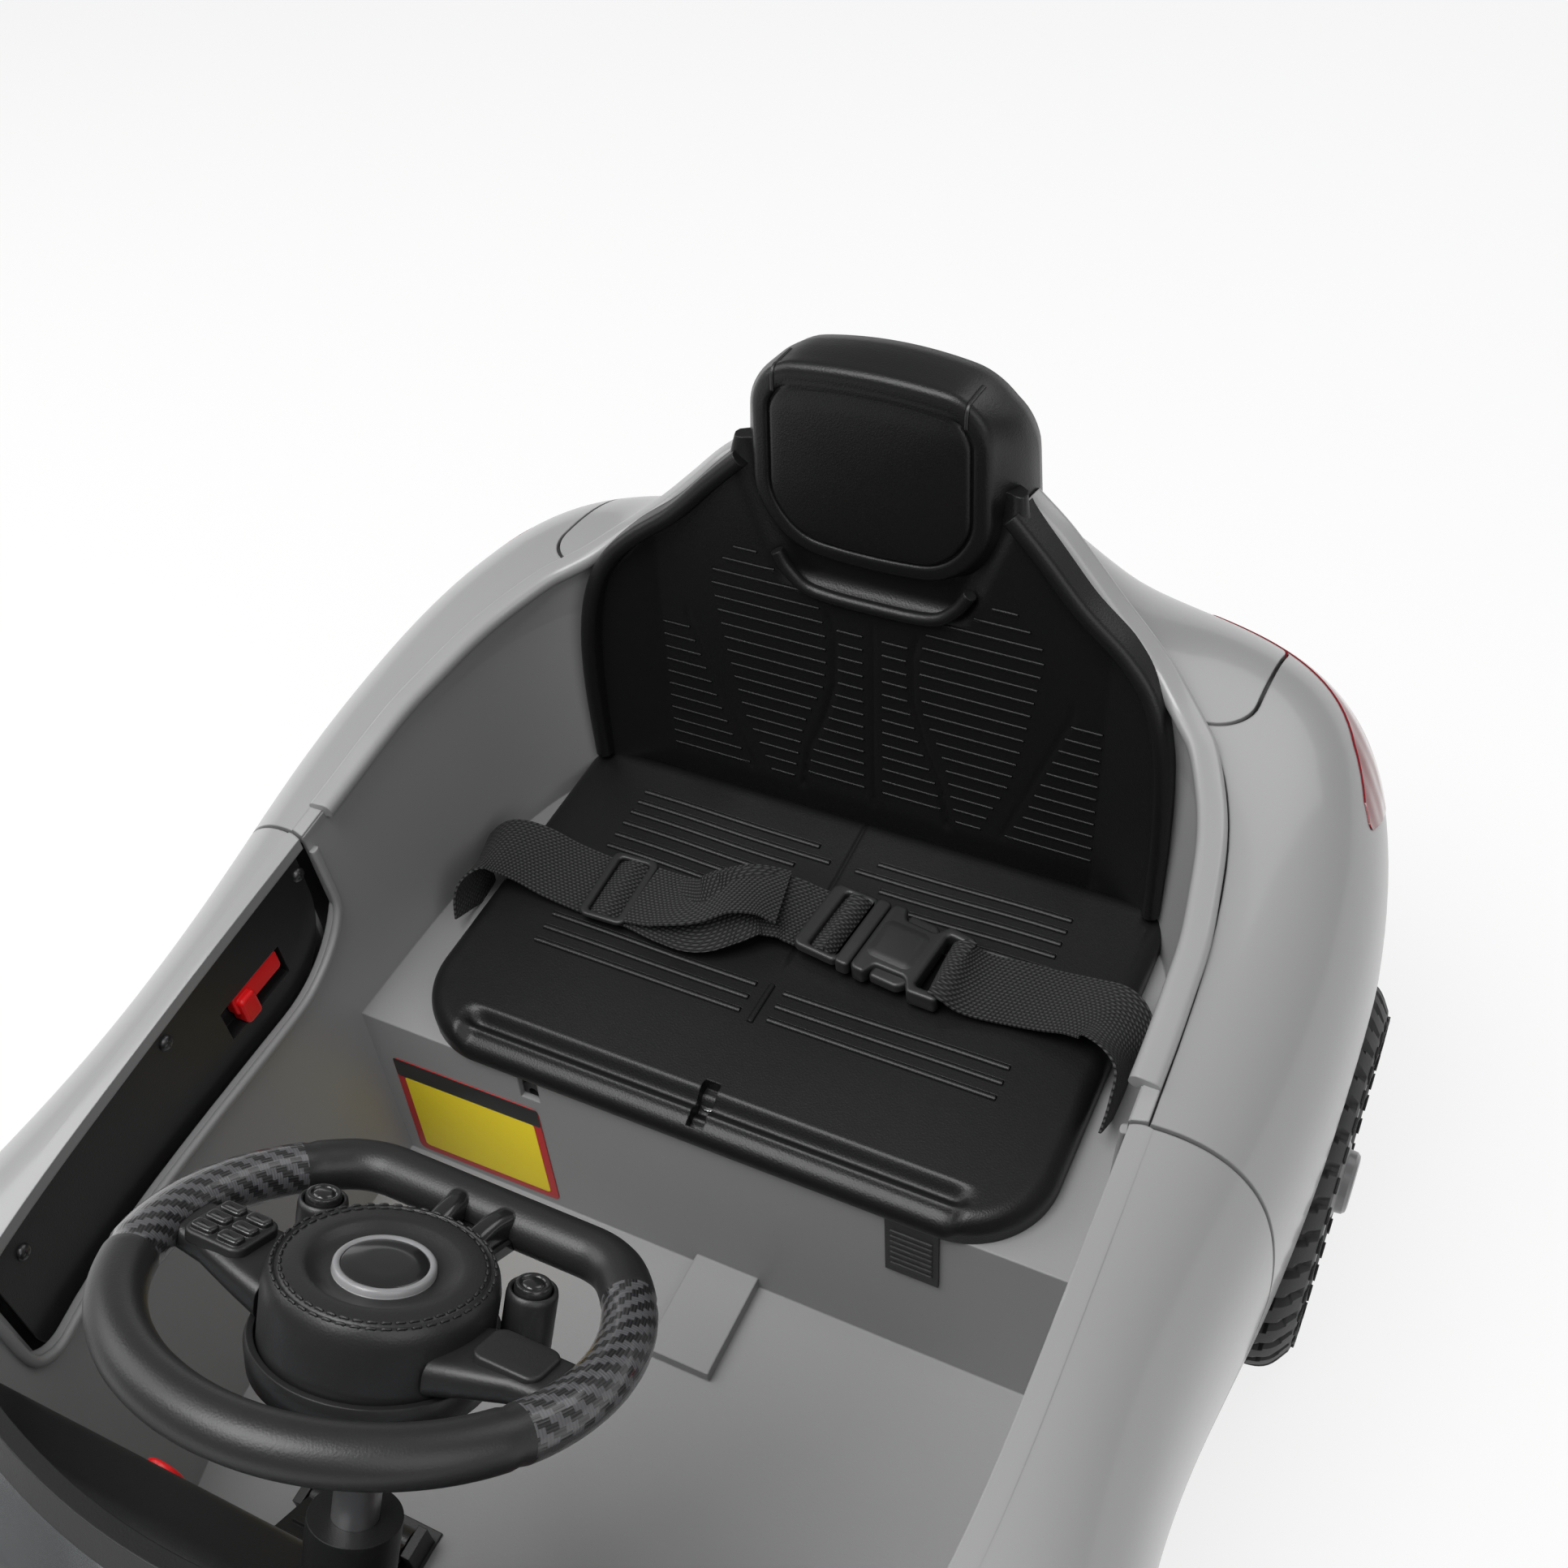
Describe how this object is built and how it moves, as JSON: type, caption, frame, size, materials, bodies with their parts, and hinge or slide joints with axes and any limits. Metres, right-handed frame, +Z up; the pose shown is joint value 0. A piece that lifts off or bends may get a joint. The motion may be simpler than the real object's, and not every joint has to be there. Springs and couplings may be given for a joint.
{
  "type": "electric ride-on car",
  "caption": "Child's open electric ride-on sports car with bucket seat, lap belt, opening doors, steering and driven rear wheels.",
  "frame": {"origin": "on the ground under the middle of the car's box", "axes": "+X to the car's left, +Y to its rear, +Z up; the nose points to -Y"},
  "size_m": [0.602, 1.06, 0.4763],
  "materials": {
    "body_grey": "satin gloss moulded plastic",
    "tub_grey": "satin moulded plastic",
    "black_plastic": "fine grained",
    "seat_black": "leather grained",
    "webbing": "woven",
    "tyre": "matt blow-moulded plastic",
    "rim_grey": "satin silver-grey",
    "red_plastic": "smooth",
    "red_lens": "clear tinted",
    "clear": "clear moulded plastic",
    "steel": "zinc plated",
    "chrome": "plated",
    "battery_case": "smooth",
    "gear_white": "nylon",
    "brass": "machined"
  },
  "bodies": {
    "car": {"battery": "battery_case", "belt_adjuster": "black_plastic", "belt_buckle_plug": "black_plastic", "belt_buckle_socket": "black_plastic", "belt_straps": "webbing", "charging_socket": "black_plastic", "chassis_pan": "black_plastic", "cockpit_tub": "tub_grey", "control_box": "black_plastic", "dashboard": "black_plastic", "front_beam": "steel", "front_body": "body_grey", "front_grille": "black_plastic", "gearboxes": "black_plastic", "headlamp_lenses": "clear", "headrest": "seat_black", "hinge_pins": "steel", "lower_valances": "black_plastic", "mirror_housings": "black_plastic", "motors": "steel", "pedal_base": "black_plastic", "rear_axle": "steel", "rear_body": "body_grey", "rear_deck": "body_grey", "screen_frame": "black_plastic", "seat_back": "seat_black", "seat_base": "seat_black", "seat_clip": "black_plastic", "seat_screw": "chrome", "tail_lamp_lenses": "red_lens", "windscreen": "clear"},
    "door_left": {"door_shell_left": "body_grey", "door_panel_left": "black_plastic"},
    "door_right": {"door_shell_right": "body_grey", "door_panel_right": "black_plastic"},
    "latch_left": {"door_latch_left": "red_plastic"},
    "latch_right": {"door_latch_right": "red_plastic"},
    "steering": {"steering_wheel": "black_plastic", "steering_hub_pad": "black_plastic", "steering_column": "steel"},
    "horn_left": {"horn_button_left": "black_plastic"},
    "horn_right": {"horn_button_right": "black_plastic"},
    "tie_rod": {"tie_rod": "steel"},
    "knuckle_left": {"knuckle_left": "steel"},
    "knuckle_right": {"knuckle_right": "steel"},
    "wheel_front_left": {"tyre_front_left": "tyre", "rim_front_left": "rim_grey"},
    "wheel_front_right": {"tyre_front_right": "tyre", "rim_front_right": "rim_grey"},
    "wheel_rear_left": {"tyre_rear_left": "tyre", "rim_rear_left": "rim_grey", "drive_gear_left": "gear_white"},
    "wheel_rear_right": {"tyre_rear_right": "tyre", "rim_rear_right": "rim_grey", "drive_gear_right": "gear_white"},
    "pinion_left": {"motor_pinion_left": "brass"},
    "pinion_right": {"motor_pinion_right": "brass"},
    "pedal": {"pedal": "black_plastic"},
    "power_button": {"power_button": "red_plastic"},
    "direction_switch": {"direction_switch": "black_plastic"}
  },
  "joints": [
    {"name": "door_left_hinge", "type": "hinge", "parent": "car", "child": "door_left", "pos_m": [0.28525, -0.094, 0.185], "axis": [0, 0, -1], "range_deg": [0, 60]},
    {"name": "door_right_hinge", "type": "hinge", "parent": "car", "child": "door_right", "pos_m": [-0.28525, -0.094, 0.185], "axis": [0, 0, 1], "range_deg": [0, 60]},
    {"name": "latch_left_slide", "type": "slide", "parent": "door_left", "child": "latch_left", "axis": [0, -1, 0], "range_m": [0, 0.008], "stiffness_N_per_m": 120},
    {"name": "latch_right_slide", "type": "slide", "parent": "door_right", "child": "latch_right", "axis": [0, -1, 0], "range_m": [0, 0.008], "stiffness_N_per_m": 120},
    {"name": "steering_turn", "type": "hinge", "parent": "car", "child": "steering", "pos_m": [0, -0.042, 0.373], "axis": [0, 0.5446, 0.8387], "range_deg": [-42, 42]},
    {"name": "horn_left_press", "type": "slide", "parent": "steering", "child": "horn_left", "axis": [0, -0.5446, -0.8387], "range_m": [0, 0.003], "stiffness_N_per_m": 300},
    {"name": "horn_right_press", "type": "slide", "parent": "steering", "child": "horn_right", "axis": [0, -0.5446, -0.8387], "range_m": [0, 0.003], "stiffness_N_per_m": 300},
    {"name": "tie_rod_slide", "type": "slide", "parent": "car", "child": "tie_rod", "axis": [1, 0, 0], "range_m": [-0.015, 0.015]},
    {"name": "knuckle_left_steer", "type": "hinge", "parent": "car", "child": "knuckle_left", "pos_m": [0.186, -0.341, 0.105], "axis": [0, 0, 1], "range_deg": [-20, 20]},
    {"name": "wheel_front_left_spin", "type": "hinge", "parent": "knuckle_left", "child": "wheel_front_left", "pos_m": [0.248, -0.341, 0.105], "axis": [1, 0, 0], "continuous": true},
    {"name": "wheel_rear_left_spin", "type": "hinge", "parent": "car", "child": "wheel_rear_left", "pos_m": [0.248, 0.294, 0.105], "axis": [1, 0, 0], "continuous": true},
    {"name": "pinion_left_spin", "type": "hinge", "parent": "car", "child": "pinion_left", "pos_m": [0.168, 0.3377, 0.105], "axis": [1, 0, 0], "continuous": true},
    {"name": "knuckle_right_steer", "type": "hinge", "parent": "car", "child": "knuckle_right", "pos_m": [-0.186, -0.341, 0.105], "axis": [0, 0, 1], "range_deg": [-20, 20]},
    {"name": "wheel_front_right_spin", "type": "hinge", "parent": "knuckle_right", "child": "wheel_front_right", "pos_m": [-0.248, -0.341, 0.105], "axis": [1, 0, 0], "continuous": true},
    {"name": "wheel_rear_right_spin", "type": "hinge", "parent": "car", "child": "wheel_rear_right", "pos_m": [-0.248, 0.294, 0.105], "axis": [1, 0, 0], "continuous": true},
    {"name": "pinion_right_spin", "type": "hinge", "parent": "car", "child": "pinion_right", "pos_m": [-0.168, 0.3377, 0.105], "axis": [1, 0, 0], "continuous": true},
    {"name": "pedal_press", "type": "hinge", "parent": "car", "child": "pedal", "pos_m": [-0.092, -0.058, 0.077], "axis": [1, 0, 0], "range_deg": [0, 12], "stiffness_Nm_per_rad": 1.5, "springref_deg": -8.59},
    {"name": "power_press", "type": "slide", "parent": "car", "child": "power_button", "axis": [0, -1, 0], "range_m": [0, 0.003], "stiffness_N_per_m": 300},
    {"name": "direction_rock", "type": "hinge", "parent": "car", "child": "direction_switch", "pos_m": [0.104, -0.113, 0.238], "axis": [1, 0, 0], "range_deg": [-9, 9]}
  ],
  "couplings": [
    {"joint": "knuckle_left_steer", "follows": "steering_turn", "ratio": 0.44},
    {"joint": "knuckle_right_steer", "follows": "steering_turn", "ratio": 0.44},
    {"joint": "tie_rod_slide", "follows": "steering_turn", "m_per_rad": -0.019026},
    {"joint": "pinion_left_spin", "follows": "wheel_rear_left_spin", "ratio": -4.8},
    {"joint": "pinion_right_spin", "follows": "wheel_rear_right_spin", "ratio": -4.8}
  ]
}
